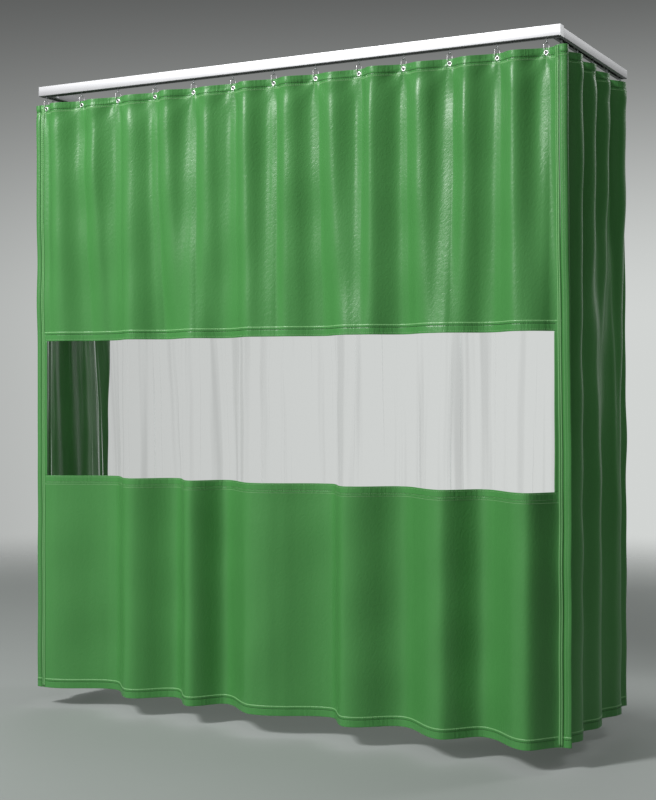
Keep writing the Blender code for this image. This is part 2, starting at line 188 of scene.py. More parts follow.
class HardwareProperties(bpy.types.PropertyGroup):
    """Sizes of the rails, trolleys, rings and eyelets."""

    wall: metres("Wall", "Wall of the channel", 0.002)
    slot: metres("Slot", "Width of the channel's slot", 0.012)
    corner: metres("Corner", "Radius of the channel's outer corners", 0.0016)
    wire: metres("Wire", "Radius of the rings' wire", 0.0012)
    ring_width: metres("Ring", "Outer width of the oval rings", 0.022)
    eyelet_hole: metres("Eyelet hole", "Radius of the clear hole in an eyelet", 0.00475)
    eyelet_edge: metres("Eyelet edge", "Outer radius of an eyelet", 0.0105)
    wheel: metres("Wheel", "Radius of a trolley's wheels", 0.008)
    wheel_width: metres("Wheel width", "Width of a wheel", 0.007)
    axle: metres("Axle", "Radius of a trolley's axle", 0.0024)
    stem: metres("Stem", "Radius of a trolley's stem", 0.0023)
    eye: metres("Eye", "Outer radius of a trolley's eye", 0.006)
    eye_hole: metres("Eye hole", "Radius of the hole in a trolley's eye", 0.0035)
    aluminium: colour("Aluminium", "The rails' colour", (0.39, 0.39, 0.40))
    nickel: colour("Nickel", "The rings' and eyelets' colour", (0.76, 0.75, 0.76))
    # The barrel colour is painted shade: the inside of each eyelet's hole is painted near black.
    barrel: colour("Barrel", "The dull metal inside an eyelet", (0.03, 0.03, 0.03))
    zinc: colour("Zinc", "The trolleys' steel", (0.62, 0.63, 0.65))
    nylon: colour("Nylon", "The trolleys' wheels", (0.78, 0.77, 0.73))


class StageProperties(bpy.types.PropertyGroup):
    """The floor, the light and the camera."""

    floor_gap: metres("Floor gap", "From the bottom hem to the floor", 0.080)
    floor: colour("Floor", "The floor's colour", (0.31, 0.33, 0.32))
    floor_reach: metres("Floor reach", "Where the floor has faded out", 9.0)
    key: bpy.props.FloatProperty(name="Key light", description="Power in watts", default=560)
    rim: bpy.props.FloatProperty(name="Rim light", description="Power in watts", default=45)
    fill: bpy.props.FloatProperty(name="Fill", description="Light from all round", default=0.09)
    front: bpy.props.FloatProperty(name="Front", description="Light from ahead", default=0.66)
    wall: bpy.props.FloatProperty(name="Wall", description="Brightness behind", default=0.66)
    glow: bpy.props.FloatProperty(name="Glow", description="Light from above the back",
                                  default=0.85)
    camera_side: metres("Camera X", "The camera's place along the front", 2.798)
    camera_back: metres("Camera distance", "How far in front of the rail the camera is", 4.889)
    camera_rise: metres("Camera height", "The camera's height above the bottom hem", 1.240)
    azimuth: bpy.props.FloatProperty(name="Azimuth", description="How far the view is turned",
                                     default=radians(27.8), unit="ROTATION")
    lens: bpy.props.FloatProperty(name="Lens", description="Focal length in millimetres",
                                  default=66.0, min=10.0)
    lens_shift: bpy.props.FloatProperty(name="Lens shift", default=-0.0106,
                                        description="Upward shift, as a share of the width")


# ---- Shader maths -----------------------------------------------------------------------------

class Value:
    """A number that varies over a surface: arithmetic on it adds Math nodes."""

    def __init__(self, finish, socket):
        self.finish, self.socket = finish, socket

    def math(self, operation, *others, swap=False):
        """A Math node of this value and others."""
        values = [self, *others]
        if swap:
            values.reverse()
        return self.finish.node("ShaderNodeMath", dict(enumerate(values)), operation=operation)

    def __add__(self, other):
        return self.math("ADD", other)

    def __sub__(self, other):
        return self.math("SUBTRACT", other)

    def __rsub__(self, other):
        return self.math("SUBTRACT", other, swap=True)

    def __mul__(self, other):
        return self.math("MULTIPLY", other)

    def clamp(self):
        """Kept between 0 and 1."""
        return self.math("MAXIMUM", 0.0).math("MINIMUM", 1.0)


class Graph:
    """A tree of shader nodes under construction."""

    def __init__(self, tree):
        self.tree = tree

    def feed(self, socket, value):
        """Links a value to a socket, or sets it."""
        if isinstance(value, Value):
            self.tree.links.new(value.socket, socket)
        elif socket.type == "RGBA" and len(value) == 3:
            socket.default_value = (*value, 1.0)
        else:
            socket.default_value = value

    def node(self, kind, inputs=None, output=0, **settings):
        """Adds a node: its settings first, then the values or links of its sockets."""
        made = self.tree.nodes.new(kind)
        for key, value in settings.items():
            setattr(made, key, value)
        for key, value in (inputs or {}).items():
            self.feed(made.inputs[key], value)
        return Value(self, made.outputs[output])

    def place(self, source, scale=(1, 1, 1), turn=0.0):
        """Coordinates on a piece, turned and then stretched: source is Object or UV."""
        coordinates = self.node("ShaderNodeTexCoord", output=source)
        if turn:
            coordinates = self.node("ShaderNodeMapping", {
                "Vector": coordinates, "Rotation": (0, 0, turn)})
        return self.node("ShaderNodeMapping", {"Vector": coordinates, "Scale": scale})

    def axes(self, vector):
        """The three parts of a vector."""
        parts = self.tree.nodes.new("ShaderNodeSeparateXYZ")
        self.feed(parts.inputs[0], vector)
        return [Value(self, socket) for socket in parts.outputs]

    def noise(self, where, scale, detail=2.0, roughness=0.5, distortion=0.0):
        """Noise from 0 to 1 with features of about 1 / scale."""
        return self.node("ShaderNodeTexNoise", {
            "Vector": where, "Scale": scale, "Detail": detail, "Roughness": roughness,
            "Distortion": distortion})

    def cells(self, where, scale):
        """Distance to the middle of the nearest of many small cells."""
        return self.node("ShaderNodeTexVoronoi", {"Vector": where, "Scale": scale})

    def between(self, value, start, stop):
        """0 where a value is at start, 1 at stop, and smooth between them."""
        return self.node("ShaderNodeMapRange", {
            "Value": value, "From Min": start, "From Max": stop}, interpolation_type="SMOOTHSTEP")

    def mix(self, share, first, second):
        """A colour between two others."""
        made = self.tree.nodes.new("ShaderNodeMix")
        made.data_type = "RGBA"
        for key, value in ((0, share), (6, first), (7, second)):
            self.feed(made.inputs[key], value)
        return Value(self, made.outputs[2])

    def bump(self, height, distance, strength=1.0, below=None):
        """Relief of a height from 0 to 1, distance metres deep."""
        inputs = {"Height": height, "Distance": distance, "Strength": strength}
        if below is not None:
            inputs["Normal"] = below
        return self.node("ShaderNodeBump", inputs)


class Finish(Graph):
    """A material under construction."""

    def __init__(self, name, **constants):
        """A Principled shader whose named sockets hold constants."""
        self.material = bpy.data.materials.new(name)
        self.material.use_nodes = True
        super().__init__(self.material.node_tree)
        self.shader = self.tree.nodes["Principled BSDF"]
        for key, value in constants.items():
            self.set(key.replace("_", " ").title().replace("Ior", "IOR"), value)

    def set(self, socket, value):
        """Gives one of the shader's sockets a constant or a value that varies."""
        self.feed(self.shader.inputs[socket], value)


def green_vinyl(name, tones, roughness, puckers=0.0, lift=0.0, rows=()):
    """Calendered vinyl: leather grain, slow changes of tone along the cloth, and scuffs.

    The puckers are short upright ripples, as a sewn hem has. A row is a line painted into the
    colour along stitching or an edge: (which UV axis it crosses, where, half its width, its share,
    pale). A dark row is painted shade in the groove that the stitching presses; a pale row is the
    thread's colour along a seam's stitching and a painted highlight at a hem's free edge.
    """
    finish = Finish(name, ior=1.45, specular_ior_level=0.36, coat_roughness=0.20)
    cloth = finish.place("UV")
    slow = finish.noise(cloth, 2.3, 3.0)
    streak = finish.noise(finish.place("UV", (22, 1.1, 1)), 1.0, 3.0, 0.6)
    grain = finish.noise(cloth, 520.0, 3.0, 0.65)
    crease = finish.noise(finish.place("UV", (110, 58, 1), 0.62), 1.0, 4.0, 0.62, 0.5)
    pebble = finish.cells(cloth, 300.0)
    scuff = finish.between(finish.noise(finish.place("UV", (9, 2.5, 1)), 6.0, 5.0, 0.7), 0.60, 0.78)
    # The lift paints a whole piece lighter; on the hems and the seams it is painted sheen.
    tone = (slow * 0.6 + streak * 0.4 + grain * 0.10 + crease * 0.12 + (lift - 0.16)).clamp()
    base = finish.mix(tone, tones.deep_green, tones.green)
    pale = [min(1.0, channel * 1.35 + 0.02) for channel in tones.green]
    base = finish.mix(scuff * 0.18, base, pale)
    # Each row paints a line into the colour: a dark one is painted shade; a pale one is the
    # thread's colour on a seam and a painted highlight at a hem's free edge.
    for axis, where, half, share, light in rows:
        near = (finish.axes(cloth)[axis] - where).math("ABSOLUTE")
        line = finish.between(near, half * 1.5, half * 0.6) * share
        base = finish.mix(line, base, tones.thread if light else tones.dark_thread)
    finish.set("Base Color", base)
    finish.set("Roughness", (streak * 0.12 + grain * 0.08 + crease * 0.14 + slow * 0.08
                             + (roughness - 0.21)).clamp())
    finish.set("Coat Weight", (0.06 - scuff * 0.04).clamp())
    relief = finish.bump(grain * 0.6 + pebble * 0.5, 0.00030, 0.6)
    relief = finish.bump(crease, 0.0020, 0.55, relief)
    ripple = finish.noise(finish.place("UV", (48, 5, 1)), 1.0, 3.0, 0.55, 0.4)
    relief = finish.bump(ripple, 0.0012, 0.25, relief)
    if puckers:
        pucker = finish.noise(finish.place("UV", (95, 9, 1)), 1.0, 2.0, 0.5, 0.3)
        relief = finish.bump(pucker, 0.0030, puckers, relief)
    finish.set("Normal", relief)
    return finish.material


def clear_film(name, tones):
    """Clear vinyl: nearly invisible, with a little haze and faint upright pale streaks that are
    painted reflections.
    """
    finish = Finish(name, roughness=0.12, ior=1.5)
    # The pale upright streaks are painted reflections: lines of the film's pale tint, more opaque
    # than the rest.
    streak = finish.noise(finish.place("UV", (88, 0.35, 1)), 1.0, 4.0, 0.62)
    line = finish.between(streak, 0.60, 0.74)
    band = finish.between(finish.noise(finish.place("UV", (19, 0.5, 1)), 1.0, 2.0), 0.50, 0.70)
    haze = finish.noise(finish.place("UV", (5, 2, 1)), 1.0, 3.0)
    finish.set("Alpha", (haze * 0.02 + line * 0.50 + band * 0.20).clamp())
    dull = [channel * 0.22 for channel in tones.clear]
    finish.set("Base Color", finish.mix(line, dull, tones.clear))
    wave = finish.noise(finish.place("UV", (34, 1.0, 1)), 1.0, 2.0)
    finish.set("Normal", finish.bump(wave, 0.0020, 0.6))
    return finish.material


def thread_finish(name, tone):
    """Waxed thread, twisted and a little fuzzy."""
    finish = Finish(name, roughness=0.55)
    twist = finish.noise(finish.place("Object"), 900.0, 2.0)
    dark = [channel * 0.6 for channel in tone]
    finish.set("Base Color", finish.mix(twist, dark, tone))
    return finish.material


def brushed_metal(name, tone, along, roughness, brush=260.0):
    """Metal brushed along an axis: fine lines, soft stains and a few scratches."""
    finish = Finish(name, metallic=1.0)
    scale = [brush, brush, brush]
    scale[along] = 2.5
    lines = finish.noise(finish.place("Object", tuple(scale)), 1.0, 4.0, 0.7)
    stain = finish.noise(finish.place("Object"), 9.0, 4.0, 0.6)
    dark = [channel * 0.78 for channel in tone]
    finish.set("Base Color", finish.mix((lines * 0.6 + stain * 0.4).clamp(), dark, tone))
    finish.set("Roughness", (lines * 0.18 + stain * 0.10 + roughness - 0.14).clamp())
    finish.set("Normal", finish.bump(lines, 0.00008, 0.5))
    return finish.material


def plated_metal(name, tone, roughness):
    """Plated steel: bright, with a fine uneven bloom."""
    finish = Finish(name, metallic=1.0)
    bloom = finish.noise(finish.place("Object"), 160.0, 4.0, 0.6)
    dark = [channel * 0.7 for channel in tone]
    finish.set("Base Color", finish.mix(bloom, dark, tone))
    finish.set("Roughness", bloom * 0.16 + (roughness - 0.08))
    finish.set("Normal", finish.bump(bloom, 0.00005, 0.4))
    return finish.material


def moulded_nylon(name, tone):
    """Moulded nylon with rubbed patches."""
    finish = Finish(name, ior=1.5)
    rub = finish.noise(finish.place("Object"), 220.0, 3.0)
    dark = [channel * 0.72 for channel in tone]
    finish.set("Base Color", finish.mix(rub, dark, tone))
    finish.set("Roughness", rub * 0.2 + 0.35)
    return finish.material


def finish_named(name, maker, *values):
    """A material, made the first time that it is asked for.

    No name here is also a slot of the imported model, whose own materials bear the slots' names.
    """
    return bpy.data.materials.get(name) or maker(name, *values)


# ---- Meshes -----------------------------------------------------------------------------------

def new_piece(name, points, quads, materials, uv=None, slots=None):
    """An object at the origin from arrays of points and quads, shaded smooth."""
    mesh = bpy.data.meshes.new(name)
    mesh.vertices.add(len(points))
    mesh.vertices.foreach_set("co", np.asarray(points, np.float32).ravel())
    mesh.loops.add(quads.size)
    mesh.loops.foreach_set("vertex_index", quads.astype(np.int32).ravel())
    mesh.polygons.add(len(quads))
    mesh.polygons.foreach_set("loop_start", np.arange(0, quads.size, 4, dtype=np.int32))
    mesh.update(calc_edges=True)
    mesh.polygons.foreach_set("use_smooth", np.ones(len(quads), bool))
    if slots is not None:
        mesh.polygons.foreach_set("material_index", slots.astype(np.int32))
    if uv is not None:
        layer = mesh.uv_layers.new(name="cloth")
        layer.data.foreach_set("uv", uv[quads.ravel()].astype(np.float32).ravel())
    for material in materials:
        mesh.materials.append(material)
    mesh.validate()
    piece = bpy.data.objects.new(name, mesh)
    bpy.context.scene.collection.objects.link(piece)
    return piece


def grid_quads(rows, columns, wrap_rows=False, wrap_columns=False):
    """Quads that join a grid of points, which may close on itself either way."""
    index = np.arange(rows * columns).reshape(rows, columns)
    if wrap_rows:
        index = np.vstack([index, index[:1]])
    if wrap_columns:
        index = np.hstack([index, index[:, :1]])
    corners = index[:-1, :-1], index[1:, :-1], index[1:, 1:], index[:-1, 1:]
    return np.stack(corners, axis=-1).reshape(-1, 4)


def end_caps(count, total):
    """Quads over both ends of a tube whose rings of count points have mirrored halves.

    Each joins a step of one half to the same step of the other.
    """
    step = np.arange((count - 1) // 2)
    strip = np.stack([step, step + 1, count - 2 - step, count - 1 - step], axis=1)
    return np.concatenate([strip, strip[:, ::-1] + total - count])


def closed(piece):
    """Merges the points that coincide at a closed piece's poles, and turns its faces outward."""
    work = bmesh.new()
    work.from_mesh(piece.data)
    bmesh.ops.remove_doubles(work, verts=work.verts, dist=0.00001)
    bmesh.ops.dissolve_degenerate(work, edges=work.edges, dist=0.00001)
    wires = [edge for edge in work.edges if not edge.link_faces]
    bmesh.ops.delete(work, geom=wires, context="EDGES")
    bmesh.ops.recalc_face_normals(work, faces=work.faces)
    work.to_mesh(piece.data)
    work.free()
    return piece


def thicken(piece, thickness):
    """Gives a sheet its thickness, half to each side."""
    wall = piece.modifiers.new("thickness", "SOLIDIFY")
    wall.thickness = thickness
    wall.offset = 0.0
    return piece


def joined(parts):
    """Several (points, quads) as one."""
    count, points, quads = 0, [], []
    for some_points, some_quads in parts:
        points.append(some_points)
        quads.append(some_quads + count)
        count += len(some_points)
    return np.concatenate(points), np.concatenate(quads)


def turned(profile, segments, axis=2):
    """A closed profile of (radius, along) turned round an axis: out by the radius, on by along."""
    around = np.linspace(0, 2 * pi, segments, endpoint=False)[:, None]
    radius, along = np.asarray(profile, float).T
    across = radius * np.cos(around), radius * np.sin(around)
    parts = [None, None, None]
    parts[axis] = np.broadcast_to(along, across[0].shape)
    parts[(axis + 1) % 3], parts[(axis + 2) % 3] = across
    points = np.stack(parts, axis=-1).reshape(-1, 3)
    return points, grid_quads(segments, len(profile), wrap_rows=True, wrap_columns=True)


def rounded_rectangle(low_corner, high_corner, radius, steps=4):
    """Outline of a rectangle with round corners, anticlockwise."""
    (x0, y0), (x1, y1) = low_corner, high_corner
    centres = ((x1 - radius, y1 - radius), (x0 + radius, y1 - radius),
               (x0 + radius, y0 + radius), (x1 - radius, y0 + radius))
    outline = []
    for quarter, (x, y) in enumerate(centres):
        turns = pi / 2 * (quarter + np.linspace(0, 1, steps))
        outline.append(np.stack([x + radius * np.cos(turns), y + radius * np.sin(turns)], axis=1))
    return np.concatenate(outline)


def cushion_box(low_corner, high_corner, radius, steps=4):
    """A box with round edges: a sphere's grid, each octant moved out to its own corner."""
    around = np.concatenate([pi / 2 * (k + np.linspace(0, 1, steps)) for k in range(4)])
    rise = np.concatenate([np.linspace(-pi / 2, 0, steps), np.linspace(0, pi / 2, steps)])
    way = np.repeat([[1, 1], [-1, 1], [-1, -1], [1, -1]], steps, axis=0)
    centre = (np.array(low_corner) + np.array(high_corner)) / 2
    half = (np.array(high_corner) - np.array(low_corner)) / 2 - radius
    rise = rise[:, None]
    sky = np.repeat([-1, 1], steps)[:, None]
    x = way[:, 0] * half[0] + radius * np.cos(rise) * np.cos(around)
    y = way[:, 1] * half[1] + radius * np.cos(rise) * np.sin(around)
    z = sky * half[2] + radius * np.sin(rise) + 0 * around
    points = np.stack([x, y, z], axis=-1).reshape(-1, 3) + centre
    body = grid_quads(len(rise), len(around), wrap_columns=True)
    return points, np.concatenate([body, end_caps(len(around), len(points))])


def carried(outline, stations, axis, line):
    """A closed outline of (across, up) carried along X or Y, its middle on a line, ends closed."""
    across, up = outline.T
    sections = []
    for station in stations:
        along = np.full(len(outline), station)
        if axis == 0:
            sections.append(np.stack([along, line + across, up], axis=1))
        else:
            sections.append(np.stack([line - across, along, up], axis=1))
    points = np.concatenate(sections)
    quads = grid_quads(len(stations), len(outline), wrap_columns=True)
    return points, np.concatenate([quads, end_caps(len(outline), len(points))])


# ---- Folds ------------------------------------------------------------------------------------

def smooth(value):
    """Rises from 0 to 1 without a corner: three squares less two cubes."""
    value = np.clip(value, 0, 1)
    return value * value * (3 - 2 * value)


def fold(steps):
    """How far out the cloth stands between two hanging points, as a share.

    0 and flat at whole steps. It rises quickly after one and falls slowly to the next: half
    a cosine wave of the way between the flats, taken to a power below one.
    """
    way = steps - np.floor(steps)
    share = np.clip((way - FLAT_SHARE) / (1 - 2 * FLAT_SHARE), 0, 1) ** FOLD_LEAN
    return (1 - np.cos(2 * pi * share)) / 2


def fold_size(steps):
    """Each fold's own size, so that no two neighbours are alike: a sine of its number."""
    return 0.86 + 0.14 * np.sin(2.4 * np.floor(steps) + 1.0)


def spread(height):
    """How far the small folds at the hem have become the broad folds below, from 0 to 1."""
    return smooth(((CLOTH_TOP - height) / DROP - BLEND_START) / (BLEND_END - BLEND_START))


def tension(along, height, hooks):
    """Creases that fan out below each eyelet, where it takes the cloth's weight.

    A cosine of the angle round the eyelet, which grows from nothing at its edge and dies away
    over a hand's width.
    """
    total = np.zeros(np.broadcast(along, height).shape)
    for number, hook in enumerate(hooks):
        across, down = along - hook, RING_LOW - height
        reach = np.hypot(across, down) + 1e-6
        angle = np.arctan2(across, np.maximum(down, 0) + 0.004)
        fan = np.cos(angle * 6.5 + 1.3 * np.sin(2.1 * number))
        size = (1 - np.exp(-((reach / 0.030) ** 2))) * np.exp(-reach / 0.13)
        total += fan * size * (0.75 + 0.25 * np.sin(3.7 * number + 0.5))
    return total


def pleats(along, height, seed):
    """Small upright waves of several widths, each of which drifts sideways on its way down.

    A sum of sines along the cloth, whose phase and size vary slowly with height.
    """
    random = np.random.default_rng(seed)
    depth = (CLOTH_TOP - height) / DROP
    total = np.zeros(np.broadcast(along, height).shape)
    for width in (0.055, 0.074, 0.101, 0.137, 0.190):
        phase, drift, turn, fade = random.uniform(0, 2 * pi, 4)
        sway = 0.6 * np.sin(1.7 * depth + drift) + 0.3 * np.sin(4.1 * depth + turn)
        own = 0.5 + 0.5 * np.sin(2 * pi * along / (width * 5.3) + fade + 1.7 * depth)
        total += width * own * np.sin(2 * pi * along / width + phase + sway)
    return total


def buckles(along, height, seed):
    """Soft slanting buckles where the cloth is slack: a sum of products of two slanted sines."""
    random = np.random.default_rng(seed)
    total = np.zeros(np.broadcast(along, height).shape)
    for _ in range(5):
        lean, phase, other = random.uniform(-1, 1), *random.uniform(0, 2 * pi, 2)
        across = np.sin(2 * pi * (along * 2.1 + height * lean * 1.2) + phase)
        total += across * np.sin(2 * pi * (height * 2.7 - along * lean * 1.7) + other)
    return total


def front_out(x, z):
    """Y of the front curtain: small folds at the hanging points, seven broad ones at the hem.

    The broad ones are a cosine wave whose crests and valleys have places of their own. A smooth
    step of the height blends one kind into the other, and pleats, buckles and creases add to it.
    """
    steps = (x - FRONT_FIRST) / FRONT_PITCH
    top = -TOP_FOLD * fold(steps) * fold_size(steps)
    share = (x + FRONT_LENGTH / 2) / FRONT_LENGTH
    turns = sorted([(t, k + 0.5) for k, t in enumerate(LOW_CRESTS)]
                   + [(t, k + 1.0) for k, t in enumerate(LOW_VALLEYS)])
    phase = np.interp(share, [t for t, _ in turns], [q for _, q in turns])
    broad = (LOW_LEFT + (LOW_RIGHT - LOW_LEFT) * share
             - LOW_FOLD * (1 - np.cos(2 * pi * phase)) / 2)
    lower = spread(z)
    small = (0.019 * pleats(x, z, 11) * (0.25 + 0.75 * (1 - lower))
             + 0.0012 * buckles(x, z, 5)) * smooth((CLOTH_TOP - z - CALM) / CALM_DEPTH)
    creases = 0.0042 * tension(x, z, HOOKS["front"][:, 0])
    return top + (broad - top) * lower + small + creases


def front_point(u, z):
    """A point of the front curtain: u runs from its left edge to its right, z is a height.

    X grows evenly with u. Between hanging points the cloth sags, less and less further down.
    """
    x = FRONT_EDGE * (2 * u - 1)
    steps = (x - FRONT_FIRST) / FRONT_PITCH
    sag = 0.007 * fold(steps) * np.exp(-(CLOTH_TOP - z) / 0.30)
    sag = sag * smooth((FRONT_EDGE - np.abs(x)) / 0.05)
    return np.stack(np.broadcast_arrays(x, front_out(x, z), z - sag), axis=-1)


def side_start(side):
    """Y where a side curtain leaves its corner and runs straight back."""
    first, second = HOOKS[side][:2, 1]
    return first - (second - first) * FLAT_SHARE


def side_point(side, u, z):
    """A point of a side curtain: u runs from the front curtain's edge, round the corner, back.

    The corner is a quadratic curve with one control point. Behind it, the cloth stands out of
    the rail's line by small folds at the top and longer ones at the bottom.
    """
    sign, start, end = SIDE_SIGN[side], side_start(side), SIDE_END[side]
    hooks = HOOKS[side][:, 1]
    u, z = np.broadcast_arrays(u, z)
    y = start + (end - start) * np.clip((u - CORNER_SHARE) / (1 - CORNER_SHARE), 0, 1)
    steps = (y - hooks[0]) / (hooks[1] - hooks[0])
    top = TOP_FOLD * fold(steps) * fold_size(steps)
    bottom = SIDE_LOW_FOLD * (1.1 - np.cos(2 * pi * steps * 0.75 + 0.6)) / 2
    small = (0.016 * pleats(y, z, 23) + 0.0010 * buckles(y, z, 9)) * smooth((y - start) / 0.06)
    small = small * smooth((CLOTH_TOP - z - CALM) / CALM_DEPTH) + 0.0036 * tension(y, z, hooks)
    out = SIDE_LINE + top + (bottom - top) * spread(z) + small
    seam = FRONT_EDGE + SEAM_GAP
    seam_y = front_out(np.full(z.shape, sign * FRONT_EDGE), z)
    share = np.clip(u / CORNER_SHARE, 0, 1)
    first, bend, last = (1 - share) ** 2, 2 * share * (1 - share), share ** 2
    corner_x = first * seam + bend * (seam + CORNER_REACH) + last * out
    corner_y = (first + bend) * seam_y + last * y
    corner = u < CORNER_SHARE
    sag = 0.005 * fold(steps) * np.exp(-(CLOTH_TOP - z) / 0.30) * (1 - corner)
    return np.stack([sign * np.where(corner, corner_x, out), np.where(corner, corner_y, y),
                     z - sag], axis=-1)


def outward(point, u, z, facing):
    """The unit normal of a curtain, level, on its outer side.

    It is the way between two near points along the curtain, turned by a quarter.
    """
    step = 0.0015
    across = point(u + step, z) - point(u - step, z)
    across[..., 2] = 0
    across /= np.linalg.norm(across, axis=-1, keepdims=True)
    return facing * np.stack([across[..., 1], -across[..., 0], across[..., 2]], axis=-1)


# ---- Curtains ---------------------------------------------------------------------------------

def spaced(start, stop, step):
    """Even places from start to stop, about a step apart."""
    return np.linspace(start, stop, max(2, int(round(abs(stop - start) / step)) + 1))


def with_close(places, centres, reach, step):
    """Places with extra ones close to some centres."""
    near = (centres[:, None] + np.arange(-reach, reach + step / 2, step)).ravel()
    far = places[np.abs(places - centres[:, None]).min(axis=0) > reach + step / 2]
    every = np.concatenate([far, near, places[[0, -1]]])
    return np.unique(np.round(every[(every >= places[0]) & (every <= places[-1])], 6))


def eyelet_z(hardware):
    """Height of the eyelets' centres: a ring's wire hangs just clear of their upper edge."""
    return RING_LOW + 2 * hardware.wire + CLEARANCE - hardware.eyelet_hole


class Curtain:
    """One hanging curtain: how to find a point of it, and its anchor, axis and joint name."""

    def __init__(self, side):
        self.side = side
        if side == "front":
            self.point, self.facing = front_point, 1.0
            self.hook_shares = (HOOKS["front"][:, 0] / FRONT_EDGE + 1) / 2
            self.length = 2 * FRONT_EDGE
            anchor, axis = HOOKS["front"][0], (1, 0, 0)
        else:
            self.point = lambda u, z: side_point(side, u, z)
            self.facing = SIDE_SIGN[side]
            start = side_start(side)
            self.length = (SIDE_END[side] - start) / (1 - CORNER_SHARE)
            self.hook_shares = CORNER_SHARE + (HOOKS[side][:, 1] - start) / self.length
            anchor, axis = HOOKS[side][-1], (0, 1, 0)
        self.anchor, self.axis = (*anchor, CLOTH_TOP), axis
        self.joint = f"{side}_draw"

    def gather(self, piece):
        """Parents a finished piece to the root body and gives it a mesh of its own."""
        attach(piece, "root")
        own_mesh(piece)
        return piece

    def shares(self, u0=0.0, u1=1.0, step=0.009, eyelets=False):
        """Places along the curtain, closer together at the eyelets."""
        places = spaced(u0, u1, step / self.length)
        if eyelets:
            places = with_close(places, self.hook_shares, 0.014 / self.length,
                                0.002 / self.length)
        return places

    def lengths(self, points):
        """Distance along the cloth from its first column to each, at the middle height."""
        line = points[:, points.shape[1] // 2]
        return np.concatenate([[0], np.cumsum(np.linalg.norm(np.diff(line, axis=0), axis=1))])

    def cut(self, quads, u, z, hardware):
        """Leaves out the quads inside each eyelet; hardware is None for a piece without any."""
        if hardware is None:
            return quads
        flat = np.stack(np.broadcast_arrays(u[:, None] * self.length, z[None, :]), axis=-1)
        middle_of = flat.reshape(-1, 2)[quads].mean(axis=1)
        holes = np.stack([self.hook_shares * self.length,
                          np.full(len(self.hook_shares), eyelet_z(hardware))], axis=1)
        away = np.linalg.norm(middle_of[:, None] - holes, axis=-1).min(axis=1)
        return quads[away > (hardware.eyelet_hole + hardware.eyelet_edge) / 2]

    def sheet(self, name, u, z, material, thickness, hardware=None, out=0.0):
        """A panel of the curtain on a grid, cut away inside each eyelet."""
        points = self.point(u[:, None], z[None, :])
        if out:
            points = points + outward(self.point, u[:, None], z[None, :], self.facing) * out
        uv = np.stack(np.broadcast_arrays(self.lengths(points)[:, None], z[None, :]), axis=-1)
        quads = self.cut(grid_quads(len(u), len(z)), u, z, hardware)
        piece = new_piece(name, points.reshape(-1, 3), quads, [material], uv.reshape(-1, 2))
        if thickness:
            thicken(piece, thickness)
        return piece

    def hem(self, name, u, edge, height, material, proud, hardware=None):
        """A hem: the cloth folded over an edge, as a band down both sides of it.

        The band's section starts in the cloth at the fold's free edge, steps out by its
        thickness, dips at the dark row of stitches, runs to the edge, goes round it and comes
        back on the other side. The height is negative where the fold hangs below its edge.
        """
        inner = edge + height
        rise = np.sign(height)
        free_edge = [0, 0.0006, 0.0022]
        down = np.concatenate([free_edge, np.linspace(0.0045, abs(height), 21)])
        heights = inner - rise * down
        groove = 0.75 * np.exp(-((down - DARK_ROW) / GROOVE) ** 2)
        outs = proud * smooth(down / HEM_STEP) * (1 - groove)
        lips = spaced(0, pi, pi / 6)[1:-1]
        across = np.concatenate([down, np.full(len(lips), abs(height)), down[::-1]])
        heights = np.concatenate([heights, edge - rise * proud * 0.9 * np.sin(lips), heights[::-1]])
        outs = np.concatenate([outs, proud * np.cos(lips), -outs[::-1]])
        base = self.point(u[:, None], np.clip(heights, CLOTH_BOTTOM, CLOTH_TOP)[None, :])
        level = self.point(u[:, None], heights[None, :])
        normal = outward(self.point, u[:, None], heights[None, :], self.facing)
        points = level + normal * outs[None, :, None]
        points[..., :2] += base[..., :2] - level[..., :2]
        uv = np.stack(np.broadcast_arrays(self.lengths(points)[:, None], across), axis=-1)
        quads = np.concatenate([
            self.cut(grid_quads(len(u), len(heights)), u, heights, hardware),
            end_caps(len(heights), len(u) * len(heights))])
        return closed(new_piece(name, points.reshape(-1, 3), quads, [material],
                                uv.reshape(-1, 2)))

    def stitches(self, name, runs, props, threads):
        """Rows of stitches: each a small spindle that lies on the cloth along its run.

        A run is (u, z, how far out, which thread), and a stitch is centred every pitch along
        it.
        """
        parts, slots = [], []
        for u, z, out, kind in runs:
            line = self.point(u, z) + outward(self.point, u, z, self.facing) * out
            normal = outward(self.point, u, z, self.facing)
            far = np.concatenate([[0], np.cumsum(np.linalg.norm(np.diff(line, axis=0), axis=1))])
            where = np.arange(props.stitch_pitch, far[-1] - props.stitch_pitch, props.stitch_pitch)

            def along(values, at):
                """Values given at the line's points, at other distances along it."""
                return np.stack([np.interp(at, far, values[:, k]) for k in range(3)], axis=-1)

            half = props.stitch_length / 2
            middle_of, out_way = along(line, where), along(normal, where)
            ahead = along(line, where + half) - along(line, where - half)
            ahead /= np.linalg.norm(ahead, axis=-1, keepdims=True)
            side_way = np.cross(out_way, ahead)
            width = props.stitch_width / 2
            rings = []
            for step, size in SPINDLE:
                for a, b in ((1, 0), (0, 1), (-1, 0), (0, -1)):
                    lift = (b * 0.7 + 0.15) * size * width - (1 - size) * width * 0.6
                    rings.append(middle_of + ahead * half * step + side_way * a * size * width
                                 + out_way * lift)
            points = np.stack(rings, axis=1)
            one = np.concatenate([grid_quads(4, 4, wrap_columns=True), [[3, 2, 1, 0]],
                                  [[12, 13, 14, 15]]])
            quads = (one[None] + 16 * np.arange(len(where))[:, None, None]).reshape(-1, 4)
            parts.append((points.reshape(-1, 3), quads))
            slots.append(np.full(len(quads), kind))
        return closed(new_piece(name, *joined(parts), threads, slots=np.concatenate(slots)))


def stacked(top, bottom, fine=0.0, step=0.012):
    """Heights from top to bottom, closer together in a band below the top."""
    heights = spaced(top - fine, bottom, step)
    if fine:
        heights = np.concatenate([heights, spaced(top, top - fine, 0.002)])
    return np.unique(np.round(heights, 6))[::-1]


